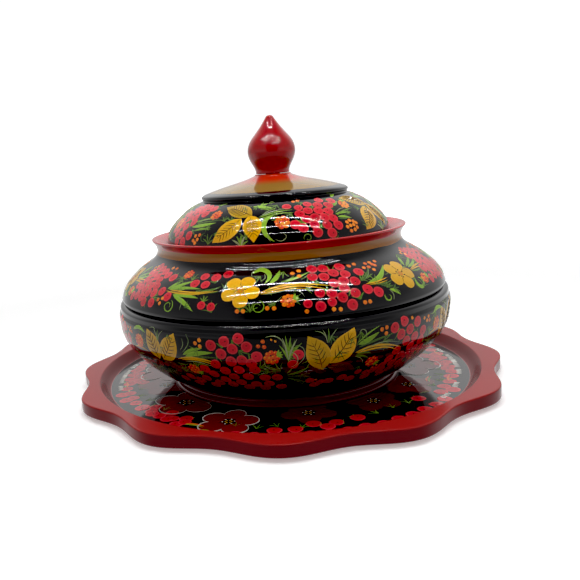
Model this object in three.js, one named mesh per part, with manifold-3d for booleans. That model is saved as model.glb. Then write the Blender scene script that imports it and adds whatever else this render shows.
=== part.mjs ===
// A turned and painted wooden serving bowl with its lid, standing on its own scalloped tray.
// Millimetres, +Z up. The origin is the centre of the tray's underside, and the front faces -Y.
// Every profile is a list of [radius, height] points, both measured from that origin.
import * as THREE from 'three';
import { mergeVertices } from 'three/addons/utils/BufferGeometryUtils.js';
import Module from 'manifold-3d';

const wasm = await Module();
wasm.setup();

// Shared
const facets = 40; // flats round each large turned piece
const knobFacets = 24; // flats round the knob
const jointGap = 0.3; // clearance at each glued or resting face

// Tray
const trayLobes = 12;
const trayLobeRadius = 150;
const trayNotchRadius = 142.2;
const trayFirstLobe = THREE.MathUtils.degToRad(-2); // the lobe nearest the front, from -Y towards +X
const trayPointsPerLobe = 11;
const trayBaseRadius = 131;
const traySideBottom = 2.7; // the underside rises to this height at the outer edge
const trayFloor = 3.8;
const trayFloorRadius = 127.5;
const trayCoveRadius = 134.4;
const trayRim = 10.6;

// Foot ring
const footRadius = 80.6;
const footBore = 65;
const footTop = 10.6;

// Bowl, both halves
const bowlUnderside = footTop + jointGap;
const bowlInnerFloor = 17;
const bellyRadius = 115.5;
const bandRadius = 114.4;
const grooveRadius = 111.2;
const bowlJoint = 65.5;
const tongueTop = 68.5;
const tongueInner = 106.4;
const tongueOuter = 108.6;
const neckRadius = 84.9;
const lipRadius = 88;
const lipTop = 107.4;
const seatOuter = 78.4;
const mouthRadius = 74.5;
const seatHeight = 102.5;

// Lid
const lidBottom = seatHeight + jointGap;
const lidRadius = 77.1;
const spigotOuter = 73.8;
const spigotInner = 69.8;
const spigotBottom = 98.2;
const ridgeRadius = 51;
const bossRadius = 12.4;
const bossTop = 146;
const knobHole = 5.3;
const lidInnerTop = 133.6;

// Knob
const knobBottom = bossTop + jointGap;
const knobNeckRadius = 11.6;
const knobRadius = 16.1;
const knobTop = 185.6;
const tenonRadius = 5;
const tenonBottom = 134.4;

// A smooth run through a few [radius, height] points, sampled in even steps.
function bend(points, steps) {
  const curve = new THREE.SplineCurve(points.map(([radius, height]) => new THREE.Vector2(radius, height)));
  return curve.getPoints(steps).map((point) => [point.x, point.y]);
}

// A profile turned round +Z. It closes on itself unless it starts and ends on the axis.
function turned(profile, sides) {
  const points = profile.map(([radius, height]) => new THREE.Vector2(radius, height));
  const onAxis = points[0].x === 0 && points[points.length - 1].x === 0;
  if (!onAxis) {
    points.push(points[0].clone());
  }
  const geometry = new THREE.LatheGeometry(points, sides);
  geometry.rotateX(Math.PI / 2);
  return geometry;
}

function toSolid(geometry) {
  const bare = geometry.clone();
  bare.deleteAttribute('normal');
  bare.deleteAttribute('uv');
  const merged = mergeVertices(bare, 1e-4);
  return new wasm.Manifold(
    new wasm.Mesh({
      numProp: 3,
      vertProperties: new Float32Array(merged.attributes.position.array),
      triVerts: new Uint32Array(merged.index.array),
    }),
  );
}

function toGeometry(solid) {
  const mesh = solid.getMesh();
  const geometry = new THREE.BufferGeometry();
  geometry.setAttribute('position', new THREE.BufferAttribute(mesh.vertProperties, 3));
  geometry.setIndex(new THREE.BufferAttribute(mesh.triVerts, 1));
  geometry.computeVertexNormals();
  return geometry;
}

// The tray's wavy outline: broad lobes with a soft notch between each two.
function trayOutline() {
  const middle = (trayLobeRadius + trayNotchRadius) / 2;
  const swing = (trayLobeRadius - trayNotchRadius) / 2;
  const count = trayLobes * trayPointsPerLobe;
  const outline = new THREE.Shape();
  for (let i = 0; i < count; i += 1) {
    const angle = trayFirstLobe + (i / count) * 2 * Math.PI;
    const radius = middle + swing * Math.cos(trayLobes * (angle - trayFirstLobe));
    const x = radius * Math.sin(angle);
    const y = -radius * Math.cos(angle);
    if (i === 0) {
      outline.moveTo(x, y);
    } else {
      outline.lineTo(x, y);
    }
  }
  outline.closePath();
  return outline;
}

// A turned disc with a sunk floor and a coved wall, cut to the wavy outline.
function tray() {
  const discRadius = trayLobeRadius + 8; // turned larger than the outline that trims it
  const disc = turned(
    [
      [0, 0],
      [trayBaseRadius, 0],
      [trayNotchRadius - 0.6, traySideBottom],
      [discRadius, traySideBottom],
      [discRadius, trayRim],
      ...bend(
        [
          [trayCoveRadius, trayRim],
          [trayCoveRadius - 2.6, trayRim - 3],
          [trayFloorRadius + 1.6, trayFloor + 0.9],
          [trayFloorRadius, trayFloor],
        ],
        5,
      ),
      [0, trayFloor],
    ],
    facets * 2,
  );
  const block = new THREE.ExtrudeGeometry(trayOutline(), { depth: trayRim + 20, bevelEnabled: false });
  block.translate(0, 0, -10);
  return toGeometry(toSolid(disc).intersect(toSolid(block)));
}

// A low flared ring with a bead at its foot and a fillet under the bowl.
function footRing() {
  const bottom = trayFloor + jointGap;
  return turned(
    [
      [footBore - 1, bottom],
      [footRadius, bottom],
      [footRadius - 0.1, bottom + 1.2],
      [footRadius - 1, bottom + 2.2],
      [footRadius - 2.4, bottom + 2.7],
      [footRadius - 3.2, bottom + 4.2],
      [footRadius - 3, bottom + 5.3],
      [footRadius - 1.8, footTop - 0.5],
      [footRadius - 1.8, footTop],
      [footBore, footTop],
    ],
    facets,
  );
}

function bowlLower() {
  return turned(
    [
      [0, bowlUnderside],
      [80, bowlUnderside],
      ...bend(
        [
          [83.5, 12],
          [94.3, 19.5],
          [106, 31],
          [113.3, 42],
          [bellyRadius, 56],
        ],
        9,
      ),
      [bellyRadius, 59.2],
      [bandRadius + 0.4, 60.1],
      [bandRadius, 60.8],
      [bandRadius, 63.4],
      [bandRadius - 1, 64.8],
      [grooveRadius, bowlJoint],
      [tongueOuter, bowlJoint],
      [tongueOuter, tongueTop],
      [tongueInner, tongueTop],
      [tongueInner, bowlJoint - 1.5],
      ...bend(
        [
          [109.8, 55],
          [108, 44.5],
          [100, 33],
          [86, 21.5],
          [70, bowlInnerFloor],
        ],
        7,
      ),
      [0, bowlInnerFloor],
    ],
    facets,
  );
}

function bowlUpper() {
  const bottom = bowlJoint + jointGap;
  return turned(
    [
      [tongueOuter + jointGap, bottom],
      [grooveRadius, bottom],
      ...bend(
        [
          [112.7, 68.2],
          [110.6, 74],
          [104.2, 82],
          [93.5, 90],
          [86.2, 96],
          [neckRadius, 100],
          [85.8, 103.2],
          [lipRadius, 106.4],
        ],
        14,
      ),
      [lipRadius - 0.7, lipTop],
      [lipRadius - 2.4, lipTop],
      [82, 105.4],
      [seatOuter, seatHeight + 0.4],
      [seatOuter, seatHeight],
      [mouthRadius, seatHeight],
      [mouthRadius, 97.6],
      ...bend(
        [
          [76.5, 94.6],
          [86, 89],
          [96.5, 82],
          [104, 74],
          [tongueInner, tongueTop + jointGap],
        ],
        6,
      ),
      [tongueOuter + jointGap, tongueTop + jointGap],
    ],
    facets,
  );
}

function lid() {
  return turned(
    [
      [spigotOuter, lidBottom],
      [lidRadius, lidBottom],
      ...bend(
        [
          [lidRadius, 106],
          [75.9, 110.8],
          [70.6, 117],
          [61.2, 124.8],
          [52.3, 129.8],
        ],
        9,
      ),
      [50.2, 130.5],
      [ridgeRadius - 0.4, 131.7],
      [ridgeRadius, 132.7],
      [ridgeRadius - 0.8, 134],
      ...bend(
        [
          [48.2, 134.9],
          [41, 137.1],
          [28, 140.5],
          [17, 143.5],
          [bossRadius + 0.2, 145.2],
        ],
        5,
      ),
      [bossRadius, bossTop],
      [knobHole, bossTop],
      [knobHole, lidInnerTop],
      ...bend(
        [
          [12, 133.4],
          [36, 129.8],
          [54.5, 122.5],
          [66, 112.5],
          [spigotInner, 104],
        ],
        7,
      ),
      [spigotInner, spigotBottom],
      [spigotOuter, spigotBottom],
    ],
    facets,
  );
}

// An onion-shaped finial with a round tenon that is glued into the lid's boss.
function knob() {
  return turned(
    [
      [0, tenonBottom],
      [tenonRadius, tenonBottom],
      [tenonRadius, knobBottom],
      ...bend(
        [
          [knobNeckRadius, knobBottom],
          [12.2, 150],
          [15, 155.5],
          [knobRadius, 161.5],
          [14.1, 169.1],
          [10.9, 173.2],
          [7.6, 177.2],
          [4.7, 181.2],
          [2.6, 184.6],
        ],
        15,
      ),
      [0, knobTop],
    ],
    knobFacets,
  );
}

function piece(name, geometry, color, roughness) {
  const material = new THREE.MeshStandardMaterial({ color, roughness, metalness: 0 });
  const mesh = new THREE.Mesh(geometry, material);
  mesh.name = name;
  return mesh;
}

const lacquerRed = 0x9c1418;
const lacquerBlack = 0x0d0d0f;
const gloss = 0.14;

const group = new THREE.Group();
group.add(piece('tray', tray(), lacquerRed, 0.2));

const bowl = new THREE.Group();
bowl.add(piece('foot_ring', footRing(), lacquerRed, gloss));
bowl.add(piece('bowl_lower', bowlLower(), lacquerBlack, gloss));
bowl.add(piece('bowl_upper', bowlUpper(), lacquerBlack, gloss));
group.add(bowl);

const cover = new THREE.Group();
cover.add(piece('lid', lid(), lacquerBlack, gloss));
cover.add(piece('knob', knob(), lacquerRed, gloss));
group.add(cover);

export default group;
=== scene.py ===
import math

import bpy
import numpy as np
from mathutils import Matrix, Vector


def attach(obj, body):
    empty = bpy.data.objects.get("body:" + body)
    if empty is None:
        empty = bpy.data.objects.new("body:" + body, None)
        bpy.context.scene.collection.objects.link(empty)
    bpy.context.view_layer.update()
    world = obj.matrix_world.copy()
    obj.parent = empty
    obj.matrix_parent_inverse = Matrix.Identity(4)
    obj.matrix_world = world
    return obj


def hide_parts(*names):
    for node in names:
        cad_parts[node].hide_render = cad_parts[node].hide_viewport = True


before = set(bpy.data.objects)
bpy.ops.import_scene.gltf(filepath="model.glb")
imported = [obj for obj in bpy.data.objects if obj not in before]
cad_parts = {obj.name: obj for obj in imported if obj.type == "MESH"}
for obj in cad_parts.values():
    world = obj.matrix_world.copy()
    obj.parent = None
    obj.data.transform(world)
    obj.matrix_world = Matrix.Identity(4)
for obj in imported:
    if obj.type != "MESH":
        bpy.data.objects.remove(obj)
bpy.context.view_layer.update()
mm = 0.001
print("frame loaded:", ", ".join(sorted(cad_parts)))


class Wire:
    # one output socket; arithmetic on it adds Math nodes to its finish
    def __init__(self, finish, socket):
        self.finish = finish
        self.socket = socket

    def maths(self, operation, *values):
        return self.finish.add("Math", {"operation": operation}, dict(enumerate(values)))

    def __add__(self, other):
        return self.maths("ADD", self, other)

    def __radd__(self, other):
        return self.maths("ADD", other, self)

    def __sub__(self, other):
        return self.maths("SUBTRACT", self, other)

    def __rsub__(self, other):
        return self.maths("SUBTRACT", other, self)

    def __mul__(self, other):
        return self.maths("MULTIPLY", self, other)

    def __truediv__(self, other):
        return self.maths("DIVIDE", self, other)

    def __pow__(self, other):
        return self.maths("POWER", self, other)

    def __gt__(self, other):
        return self.maths("GREATER_THAN", self, other)

    def __lt__(self, other):
        return self.maths("LESS_THAN", self, other)


class Finish:
    # a material and its nodes
    def __init__(self, name):
        self.material = bpy.data.materials.new(name)
        self.material.use_nodes = True
        self.tree = self.material.node_tree
        self.tree.nodes.clear()

    def add(self, kind, settings=None, sockets=None, out=0):
        node = self.tree.nodes.new("ShaderNode" + kind)
        for key, value in (settings or {}).items():
            setattr(node, key, value)
        for key, value in (sockets or {}).items():
            if isinstance(value, Wire):
                self.tree.links.new(value.socket, node.inputs[key])
            elif isinstance(value, tuple) and len(value) == 3 and node.inputs[key].type == "RGBA":
                node.inputs[key].default_value = (*value, 1)
            else:
                node.inputs[key].default_value = value
        return Wire(self, node.outputs[out])

    def mix(self, factor, first, second):
        sockets = {0: factor, 6: first, 7: second}
        return self.add("Mix", {"data_type": "RGBA"}, sockets, out=2)

    def smooth(self, value, low, high):
        sockets = {"Value": value, "From Min": low, "From Max": high}
        return self.add("MapRange", {"interpolation_type": "SMOOTHSTEP"}, sockets)

    def noise(self, where, scale, detail=3.0, rough=0.5):
        sockets = {"Vector": where, "Scale": scale, "Detail": detail, "Roughness": rough}
        return self.add("TexNoise", None, sockets)

    def place(self):
        return self.add("TexCoord", out="Object")

    def stretched(self, where, size):
        return self.add("VectorMath", {"operation": "MULTIPLY"}, {0: where, 1: size})

    def parts(self, vector):
        node = self.add("SeparateXYZ", None, {0: vector}).socket.node
        return [Wire(self, socket) for socket in node.outputs]

    def surface(self, shader):
        output = self.tree.nodes.new("ShaderNodeOutputMaterial")
        self.tree.links.new(shader.socket, output.inputs["Surface"])
        return self.material


lacquer = {
    "roughness": 0.024,  # of the polished clear coat
    "unevenness": 0.02,  # how much the roughness wanders
    "ripple": 0.00002,  # depth of the slow waves in the coat, metres
    "grain": 0.000003,  # depth of the fine brushing under it, metres
    "clouds": 55.0,  # noise scales, from the roughness clouds to the fine brushing
    "waves": 210.0,
    "brushing": 1500.0,
    "ior": 1.5,
}


def polished(finish, color, roughness=None, ripple=1.0, shine=0.5):
    # the clear lacquer over every painted surface
    where = finish.place()
    rough = lacquer["roughness"] if roughness is None else roughness
    cloud = finish.noise(where, lacquer["clouds"], 4.0)
    waves = finish.noise(where, lacquer["waves"], 2.0, 0.4)
    fine = finish.noise(where, lacquer["brushing"], 3.0, 0.6)
    height = waves * (lacquer["ripple"] * ripple) + fine * lacquer["grain"]
    bump = finish.add("Bump", None, {"Strength": 1.0, "Distance": 1.0, "Height": height})
    sockets = {
        "Base Color": color,
        "Roughness": rough + (cloud - 0.5) * lacquer["unevenness"],
        "IOR": lacquer["ior"],
        "Specular IOR Level": shine,
        "Normal": bump,
    }
    return finish.surface(finish.add("BsdfPrincipled", None, sockets))


def bend(points, steps):
    # a smooth curve through a few [radius, height] points
    p = np.array(points, float)
    t = np.concatenate([[0], np.cumsum(np.hypot(*np.diff(p, axis=0).T))])
    n = len(t)
    gaps = np.diff(t)
    a = np.zeros((n, n))
    b = np.zeros((n, 2))
    a[0, 0] = a[-1, -1] = 1
    for i in range(1, n - 1):
        a[i, i - 1 : i + 2] = gaps[i - 1], 2 * (gaps[i - 1] + gaps[i]), gaps[i]
        b[i] = 6 * ((p[i + 1] - p[i]) / gaps[i] - (p[i] - p[i - 1]) / gaps[i - 1])
    m = np.linalg.solve(a, b)
    made = []
    for u in np.linspace(0, t[-1], steps + 1):
        i = min(max(int(np.searchsorted(t, u, side="right")) - 1, 0), n - 2)
        h = gaps[i]
        left, right = (t[i + 1] - u) / h, (u - t[i]) / h
        point = left * p[i] + right * p[i + 1]
        point = point + ((left**3 - left) * m[i] + (right**3 - right) * m[i + 1]) * h * h / 6
        made.append((float(point[0]), float(point[1])))
    return made


def eased(profile, closed=True):
    # a third number on a profile point rounds that corner by so many millimetres
    made = []
    count = len(profile)
    for i, point in enumerate(profile):
        if len(point) < 3 or (not closed and i in (0, count - 1)):
            made.append(tuple(point[:2]))
            continue
        here = np.array(point[:2], float)
        before = np.array(profile[i - 1][:2], float)
        after = np.array(profile[(i + 1) % count][:2], float)
        inward, outward = before - here, after - here
        reach = min(point[2], 0.4 * np.hypot(*inward), 0.4 * np.hypot(*outward))
        start = here + inward / np.hypot(*inward) * reach
        end = here + outward / np.hypot(*outward) * reach
        made.append(tuple(here + (start - here) * 1.2))
        for k in range(6):
            t = k / 5
            made.append(tuple((1 - t) ** 2 * start + 2 * t * (1 - t) * here + t * t * end))
        made.append(tuple(here + (end - here) * 1.2))
    return made


def turnedMesh(name, loops, sides, wave=None, slots=None):
    # loops of [radius, height, slot, follow] points, joined round the axis
    # follow is how far a point keeps to the wave, from 0 to 1
    angles = np.arange(sides) * 2 * np.pi / sides
    verts = []
    for radius, height, slot, follow in loops:
        reach = radius + (follow * wave(angles) if wave else 0) * np.ones(sides)
        ring = np.stack([reach * np.sin(angles), -reach * np.cos(angles), np.full(sides, height)], 1)
        verts.append(ring * mm)
    rings = len(loops)
    onAxis = loops[0][0] < 1e-6 and loops[-1][0] < 1e-6
    verts = np.concatenate(verts)
    if onAxis:
        verts = np.concatenate([verts[:1], verts[sides : (rings - 1) * sides], verts[-1:]])
    faces, slotOf = [], []
    last = rings - 1 if onAxis else rings
    for k in range(last):
        nextRing = (k + 1) % rings
        for i in range(sides):
            j = (i + 1) % sides
            if onAxis:
                first = 1 + (k - 1) * sides
                second = 1 + k * sides
                if k == 0:
                    faces.append((0, 1 + j, 1 + i))
                elif k == rings - 2:
                    faces.append((first + i, first + j, len(verts) - 1))
                else:
                    faces.append((first + i, first + j, second + j, second + i))
            else:
                a, b = k * sides, nextRing * sides
                faces.append((a + i, a + j, b + j, b + i))
            slotOf.append(loops[k][2])
    return meshObject(name, verts, faces, slots, slotOf)


def meshObject(name, verts, faces, slots, slotOf=None):
    mesh = bpy.data.meshes.new(name)
    mesh.from_pydata([tuple(v) for v in verts], [], faces)
    for material in slots:
        mesh.materials.append(material)
    if slotOf is not None:
        mesh.polygons.foreach_set("material_index", np.array(slotOf, np.int32))
    mesh.shade_smooth()
    mesh.validate()
    made = bpy.data.objects.new(name, mesh)
    bpy.context.scene.collection.objects.link(made)
    return made


def withSlots(points, slot, follow=0.0):
    return [(p[0], p[1], slot, follow) for p in points]


class Side:
    # a turned surface that takes paint
    # a place on it is an angle from the front and a distance along its profile
    def __init__(self, profile):
        p = np.array(profile, float)
        self.along = np.concatenate([[0], np.cumsum(np.hypot(*np.diff(p, axis=0).T))])
        self.radii = p[:, 0]
        self.heights = p[:, 1]

    def radius(self, up):
        return np.interp(up, self.along, self.radii)

    def height(self, up):
        return np.interp(up, self.along, self.heights)

    def put(self, angle, up, lift):
        dr = self.radius(up + 0.4) - self.radius(up - 0.4)
        dz = self.height(up + 0.4) - self.height(up - 0.4)
        length = np.hypot(dr, dz)
        outward, upward = dz / length, -dr / length
        r = self.radius(up) + outward * lift
        z = self.height(up) + upward * lift
        points = np.stack([r * np.sin(angle), -r * np.cos(angle), z], -1)
        normals = np.stack([outward * np.sin(angle), -outward * np.cos(angle), upward], -1)
        return points, normals


brushes = {
    "film": 0.05,  # lift of the first coat of paint, mm
    "step": 0.012,  # lift between one colour and the next, mm
    "edge": -0.03,  # the rim of each stroke ends just under the lacquer, mm
    "relief": 0.3,  # how far the stroke's own shape turns its shading
    "hairs": 900.0,  # noise scale of the brush's hairs in the paint
    "seed": 7,
}
colorOrder = ["Petals", "Greens", "Golds", "Berries", "Oranges", "Pales", "Whites", "Darks"]


evenColumns = (-1, -0.8, 0, 0.8, 1)  # the lines of points along a stroke, across its width


class Painting:
    # collects the strokes of one turned surface, kept apart by color
    def __init__(self, name):
        self.name = name
        kept = ("points", "normals", "faces", "brush", "tone")
        self.pots = {color: {part: [] for part in kept} for color in colorOrder}
        self.random = np.random.default_rng(brushes["seed"])
        self.count = 0

    def lift(self, color, layer):
        self.count += 1
        first = brushes["film"] + brushes["step"] * colorOrder.index(color)
        return first + layer * 0.1 + (self.count % 11) * 0.0016

    def keep(self, color, points, normals, faces, brush, tone):
        kept = self.pots[color]
        start = sum(len(p) for p in kept["points"])
        kept["points"].append(points)
        kept["normals"].append(normals)
        kept["faces"].extend([tuple(start + i for i in face) for face in faces])
        kept["brush"].append(brush)
        kept["tone"].append(np.full(len(points), tone))

    def patch(self, side, color, angle, up, outline, tone=0.5, layer=0, rings=(0.45, 0.8, 0.94, 1.0)):
        # a dab whose edge is a list of [x, y] millimetres round its middle
        edge = np.array(outline, float)
        count = len(edge)
        lift = self.lift(color, layer)
        high = [lift * (1 - 0.12 * ring) for ring in rings[:-1]] + [brushes["edge"]]
        local = np.concatenate([[[0, 0]]] + [edge * ring for ring in rings])
        lifts = np.concatenate([[lift]] + [np.full(count, h) for h in high])
        ups = up + local[:, 1]
        turns = math.radians(angle) + local[:, 0] / side.radius(ups)
        points, normals = side.put(turns, ups, lifts)
        faces = [(0, 1 + i, 1 + (i + 1) % count) for i in range(count)]
        for k in range(len(rings) - 1):
            a, b = 1 + k * count, 1 + (k + 1) * count
            faces.extend([(a + i, b + i, b + (i + 1) % count, a + (i + 1) % count) for i in range(count)])
        chance = self.random.random()
        ringOf = np.concatenate([[0]] + [np.full(count, ring) for ring in rings])
        around = np.arctan2(local[:, 1], local[:, 0])
        brush = np.stack([ringOf, around, np.full(len(local), chance)], 1)
        self.keep(color, points, normals, faces, brush, tone)

    def stroke(self, side, color, places, width, tone=0.5, layer=0, shape=None, columns=evenColumns):
        # a brush stroke through [angle, up] places; shape gives the width along it, from start to end
        p = np.array(places, float)
        middle = p[:, 1].mean()
        scale = float(side.radius(middle)) * math.pi / 180
        flat = [(q[0] * scale, q[1]) for q in p]
        length = float(np.hypot(*np.diff(np.array(flat), axis=0).T).sum())
        steps = max(8, int(length / 1.1))
        line = np.array(bend(flat, steps)) if len(flat) > 2 else np.linspace(flat[0], flat[1], steps + 1)
        t = np.linspace(0, 1, len(line))
        if shape is None:
            half = np.sin(np.pi * t**0.8) ** 0.8
        else:
            half = np.interp(t, np.linspace(0, 1, len(shape)), shape)
            half = half * np.clip(t / 0.06, 0, 1) ** 0.5 * np.clip((1 - t) / 0.06, 0, 1) ** 0.5
        half = np.maximum(half * width / 2, 0.015)
        along = np.gradient(line, axis=0)
        along = along / np.hypot(along[:, 0], along[:, 1])[:, None]
        across = np.stack([-along[:, 1], along[:, 0]], 1)
        lift = self.lift(color, layer)
        chance = self.random.random()
        points, normals, brush = [], [], []
        for column in columns:
            xy = line - across * (column * half)[:, None]
            high = brushes["edge"] if abs(column) == 1 else lift * (1 - 0.1 * abs(column))
            ups = xy[:, 1]
            # keep the place given in degrees right at any height
            middleLine = np.radians(line[:, 0] / scale)
            turns = middleLine + (xy[:, 0] - line[:, 0]) / side.radius(ups)
            made, normal = side.put(turns, ups, np.full(len(ups), high))
            points.append(made)
            normals.append(normal)
            brush.append(np.stack([np.full(len(t), abs(column)), t, np.full(len(t), chance)], 1))
        n = len(t)
        faces = []
        for c in range(len(columns) - 1):
            a, b = c * n, (c + 1) * n
            faces.extend([(a + i, a + i + 1, b + i + 1, b + i) for i in range(n - 1)])
        faces = [face[::-1] for face in faces]
        self.keep(color, np.concatenate(points), np.concatenate(normals), faces, np.concatenate(brush), tone)

    def finishUp(self, body, materials):
        made = []
        for color, kept in self.pots.items():
            if not kept["points"]:
                continue
            points = np.concatenate(kept["points"])
            outward = np.concatenate(kept["normals"])
            film = meshObject(self.name + color, points * mm, kept["faces"], [materials[color]])
            mesh = film.data
            brush = mesh.attributes.new("brush", "FLOAT_VECTOR", "POINT")
            brush.data.foreach_set("vector", np.concatenate(kept["brush"]).astype(np.float32).ravel())
            tone = mesh.attributes.new("tone", "FLOAT", "POINT")
            tone.data.foreach_set("value", np.concatenate(kept["tone"]).astype(np.float32))
            own = np.zeros(len(points) * 3)
            mesh.vertices.foreach_get("normal", own)
            shaded = outward * (1 - brushes["relief"]) + own.reshape(-1, 3) * brushes["relief"]
            shaded = shaded / np.linalg.norm(shaded, axis=1)[:, None]
            mesh.normals_split_custom_set_from_vertices([tuple(n) for n in shaded])
            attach(film, body)
            made.append((color, len(mesh.polygons)))
        print(self.name, "painted:", ", ".join(f"{color} {faces}" for color, faces in made))


paintMake = {
    "Greens": {
        "name": "green paint",
        "low": (0.028, 0.065, 0.02),
        "high": (0.235, 0.42, 0.03),
        "rim": (0.45, 0.62, 0.10),
        "rimAt": (0.5, 1.1),
        "rimAmount": 0.35,
    },
    "Golds": {
        "name": "gold paint",
        "low": (0.42, 0.25, 0.010),
        "high": (0.80, 0.40, 0.010),
        "rim": (0.90, 0.52, 0.06),
        "rimAt": (0.8, 1.05),
        "rimAmount": 0.35,
        "streaks": 0.2,
        "dim": (0.10, 0.038, 0.008),
    },
    "Berries": {
        "name": "berry paint",
        "low": (0.42, 0.006, 0.014),
        "high": (0.60, 0.016, 0.032),
        "rim": (0.66, 0.055, 0.06),
        "rimAt": (0.62, 0.95),
        "rimAmount": 0.6,
    },
    "Petals": {"name": "rose paint", "low": (0.09, 0.006, 0.008), "high": (0.22, 0.012, 0.016)},
    "Oranges": {
        "name": "orange paint",
        "low": (0.58, 0.035, 0.015),
        "high": (0.82, 0.25, 0.02),
        "rim": (0.80, 0.26, 0.05),
        "rimAt": (0.75, 1.0),
        "rimAmount": 0.35,
    },
    "Pales": {"name": "pale paint", "low": (0.13, 0.20, 0.07), "high": (0.40, 0.42, 0.22)},
    "Whites": {"name": "white paint", "low": (0.26, 0.26, 0.23), "high": (0.80, 0.79, 0.72)},
    "Darks": {"name": "dark paint", "low": (0.012, 0.006, 0.004), "high": (0.05, 0.014, 0.004)},
}
# painted shade: the paint is darkened low on the belly, standing in for the light falling off under it;
# heights in metres
paintedUnderShade = {"light": 0.050, "dark": 0.022, "trayTop": 0.006, "above": 0.011, "amount": 0.45}


def pot(name, low, high, rim=None, rimAt=(0, 1), rimAmount=0.0, streaks=0.25, dim=None):
    # one color from low tone to high tone, with a lighter rim where the brush left one
    finish = Finish(name)
    where = finish.place()
    brush = finish.add("Attribute", {"attribute_name": "brush"}, out="Vector")
    tone = finish.add("Attribute", {"attribute_name": "tone"}, out="Fac")
    ring, along, chance = finish.parts(brush)
    hand = finish.noise(where, brushes["hairs"], 3.0, 0.6)
    body = finish.mix(tone + (chance - 0.5) * 0.3 + (hand - 0.5) * 0.5, low, high)
    thin = finish.noise(finish.stretched(brush, (3.0, 9.0, 17.0)), 2.2, 2.0)
    body = finish.mix(finish.smooth(thin, 0.5, 0.8) * streaks, body, tuple(c * 0.45 for c in low))
    if rim is not None:
        body = finish.mix(finish.smooth(ring + (hand - 0.5) * 0.2, *rimAt) * rimAmount, body, rim)
    if dim is not None:
        body = finish.mix(finish.smooth(tone + (hand - 0.5) * 0.3, -0.12, -0.5), body, dim)
    # painted shade: strokes low on the belly turn towards dark paint; the tray floor is left out
    height = finish.parts(where)[2]
    under = finish.smooth(height, paintedUnderShade["light"], paintedUnderShade["dark"])
    under = under * finish.smooth(height, paintedUnderShade["trayTop"], paintedUnderShade["above"])
    body = finish.mix(under * paintedUnderShade["amount"], body, paintMake["Darks"]["low"])
    return polished(finish, body)


paints = {color: pot(**mix) for color, mix in paintMake.items()}
print("paints mixed:", len(paints))


# the painter's stock of forms, each placed by an angle from the front in degrees and a height up the profile
def circle(radius, count=18, wobble=0.0, turn=0.0):
    made = []
    for i in range(count):
        a = 2 * math.pi * i / count
        r = radius * (1 + wobble * math.cos(3 * a + turn))
        made.append((r * math.cos(a), r * math.sin(a)))
    return made


berryMake = {
    "size": 3.3,
    "dot": 0.18,  # of the berry's size
    "dotAway": 0.75,  # from the berry's middle
}


def berry(art, side, angle, up, size=berryMake["size"], tone=None):
    r = size * (0.97 + 0.06 * art.random.random())
    shade = 0.35 + 0.6 * art.random.random() if tone is None else tone
    art.patch(side, "Berries", angle, up, circle(r, 20, 0.02, 6 * art.random.random()), shade)
    way = art.random.random() * 2 * math.pi
    dx, dy = berryMake["dotAway"] * math.cos(way), berryMake["dotAway"] * math.sin(way)
    place = angle + math.degrees(dx / float(side.radius(up)))
    art.patch(side, "Darks", place, up + dy, circle(berryMake["dot"] * size, 8), 0.2, rings=(0.6, 1.0))


def smallBerry(art, side, angle, up, size=1.3, tone=None):
    shade = 0.3 + 0.7 * art.random.random() if tone is None else tone
    art.patch(side, "Oranges", angle, up, circle(size, 12), shade, rings=(0.6, 0.9, 1.0))
    # a painted highlight: a gold dot up and to the left of each berry
    shift = math.degrees(0.3 / float(side.radius(up)))
    art.patch(side, "Golds", angle - shift, up + 0.35, circle(0.38, 7), 0.9, 1, (0.6, 1.0))


def raspberry(art, side, angle, up, turn=0.0, size=1.0, tone=0.35, crown=True):
    # balls packed in an oval, with a small green crown on the side that turn points to
    way = math.radians(turn)
    rows = [(-3.0, (-1.2, 1.2)), (-1.1, (-2.6, 0, 2.6)), (1.0, (-2.9, -0.2, 2.7)), (3.0, (-1.4, 1.4))]
    for x, ys in rows:
        for y in ys:
            px = (x * math.cos(way) - y * math.sin(way)) * size
            py = (x * math.sin(way) + y * math.cos(way)) * size
            place = angle + math.degrees(px / float(side.radius(up)))
            shade = min(1, max(0, tone - 0.25 + 0.8 * (art.random.random() - 0.4)))
            art.patch(side, "Oranges", place, up + py, circle(1.38 * size, 12), shade, rings=(0.6, 0.88, 1.0))
            # a painted highlight: a gold dot up and to the left on each ball
            glint = place - math.degrees(0.45 * size / float(side.radius(up)))
            art.patch(side, "Golds", glint, up + py + 0.45 * size, circle(0.46 * size, 8), 0.9, 1, (0.6, 1.0))
    if crown:
        for lean in (-50, -20, 10, 42):
            a = way + math.radians(lean)
            x0, y0 = 3.0 * math.cos(way) * size, 3.0 * math.sin(way) * size
            x1, y1 = x0 + 3.4 * math.cos(a) * size, y0 + 3.4 * math.sin(a) * size
            toDegrees = math.degrees(1 / float(side.radius(up)))
            places = [(angle + x0 * toDegrees, up + y0), (angle + x1 * toDegrees, up + y1)]
            art.stroke(side, "Greens", places, 1.3 * size, 0.85, layer=1)


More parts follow.
